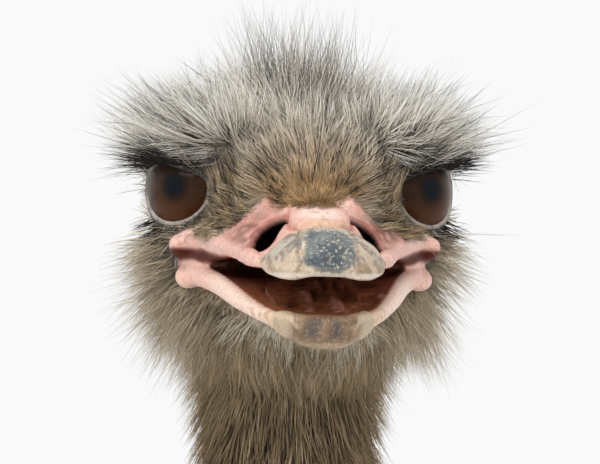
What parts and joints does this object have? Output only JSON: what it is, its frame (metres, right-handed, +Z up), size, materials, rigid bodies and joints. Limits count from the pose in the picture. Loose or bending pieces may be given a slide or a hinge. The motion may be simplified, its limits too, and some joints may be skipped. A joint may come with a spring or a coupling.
{
  "type": "ostrich hen, still life-size model",
  "caption": "Life-size still model of a standing ostrich hen, with a shaggy head, slightly open bill, long downy neck, loose brown plumes and bare scaled legs.",
  "frame": {"origin": "middle of the base of the bounding box, on the floor under the body", "axes": "+Z up; the bird faces -Y and its left side is at +X"},
  "size_m": [0.612, 1.4347, 1.8599],
  "materials": {
    "down": "matte, hair-like down in grey-brown and tan, with black bristles",
    "body_plumage": "matte, loose grey-brown plumes with paler edges",
    "pale_plumage": "matte, loose brown plumes with dirty-white tips",
    "bill_skin": "satin, soft pink skin",
    "bill_horn": "satin horn, worn, chipped and streaked",
    "mouth_lining": "moist, wrinkled, dark red-brown",
    "eye": "wet gloss, brown iris and black pupil",
    "leg_skin": "matte, scaled grey-pink skin",
    "claw": "satin dark horn"
  },
  "bodies": {
    "root": {"head": "down", "neck_upper": "down", "neck_middle": "down", "neck_lower": "down", "trunk": "body_plumage", "tail": "pale_plumage", "wing_left": "pale_plumage", "wing_right": "pale_plumage", "upper_bill": "bill_skin", "lower_bill": "bill_skin", "upper_nail": "bill_horn", "lower_nail": "bill_horn", "tongue": "mouth_lining", "eye_left": "eye", "eye_right": "eye", "drumstick_left": "leg_skin", "drumstick_right": "leg_skin", "tarsus_left": "leg_skin", "tarsus_right": "leg_skin", "inner_toe_left": "leg_skin", "inner_toe_right": "leg_skin", "outer_toe_left": "leg_skin", "outer_toe_right": "leg_skin", "claw_left": "claw", "claw_right": "claw"}
  },
  "joints": []
}
